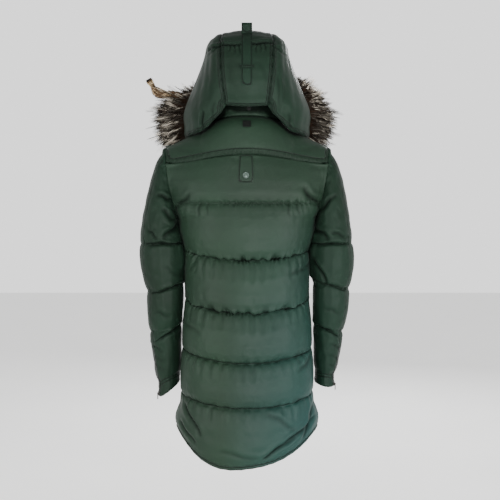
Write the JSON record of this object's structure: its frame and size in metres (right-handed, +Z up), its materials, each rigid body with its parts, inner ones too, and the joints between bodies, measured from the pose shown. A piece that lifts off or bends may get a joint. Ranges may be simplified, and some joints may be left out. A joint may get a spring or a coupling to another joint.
{
  "type": "fur trimmed parka",
  "caption": "Long quilted hooded parka with a fur ruff, worn shape without a wearer: hollow body and sleeves, sewn channels, zip cuffs, hood strap with loop.",
  "frame": {"origin": "middle of the neck opening at shoulder height, where the wearer's shoulders carry the coat", "axes": "+Z up along the wearer, +Y the way the wearer faces, +X to the wearer's right"},
  "size_m": [0.5678, 0.3268, 1.1335],
  "materials": {
    "green_shell": "satin",
    "dark_trim": "matte",
    "fur": "long pile",
    "dark_metal": "dark plated"
  },
  "bodies": {
    "coat": {"back_panel": "green_shell", "back_tab": "green_shell", "back_yoke": "green_shell", "badge_plate": "dark_trim", "collar": "green_shell", "collar_snap": "dark_trim", "cuff_zip_slider_left": "dark_metal", "cuff_zip_slider_right": "dark_metal", "cuff_zip_tape_left": "dark_trim", "cuff_zip_tape_right": "dark_trim", "front_left": "green_shell", "front_right": "green_shell", "front_zip_slider": "dark_metal", "front_zip_tape_left": "dark_trim", "front_zip_tape_right": "dark_trim", "fur_trim": "fur", "hem_back": "green_shell", "hem_front_left": "green_shell", "hem_front_right": "green_shell", "hood_centre": "green_shell", "hood_left": "green_shell", "hood_right": "green_shell", "hood_strap": "green_shell", "sleeve_band_left": "green_shell", "sleeve_band_right": "green_shell", "sleeve_left": "green_shell", "sleeve_right": "green_shell", "strap_keeper": "green_shell", "tab_snap": "dark_metal"},
    "front_pull": {"front_zip_pull": "dark_metal"},
    "cuff_pull_right": {"cuff_zip_pull_right": "dark_metal"},
    "cuff_pull_left": {"cuff_zip_pull_left": "dark_metal"}
  },
  "joints": [
    {"name": "front_pull_swing", "type": "hinge", "parent": "coat", "child": "front_pull", "pos_m": [0, 0.08929, 0.00723], "axis": [1, 0, 0], "range_deg": [0, 150]},
    {"name": "cuff_pull_right_swing", "type": "hinge", "parent": "coat", "child": "cuff_pull_right", "pos_m": [0.23676, 0.01206, -0.6992], "axis": [-0.3694, -0.9293, 0], "range_deg": [0, 150]},
    {"name": "cuff_pull_left_swing", "type": "hinge", "parent": "coat", "child": "cuff_pull_left", "pos_m": [-0.23977, 0.01161, -0.72511], "axis": [-0.4213, 0.9069, 0], "range_deg": [0, 150]}
  ]
}
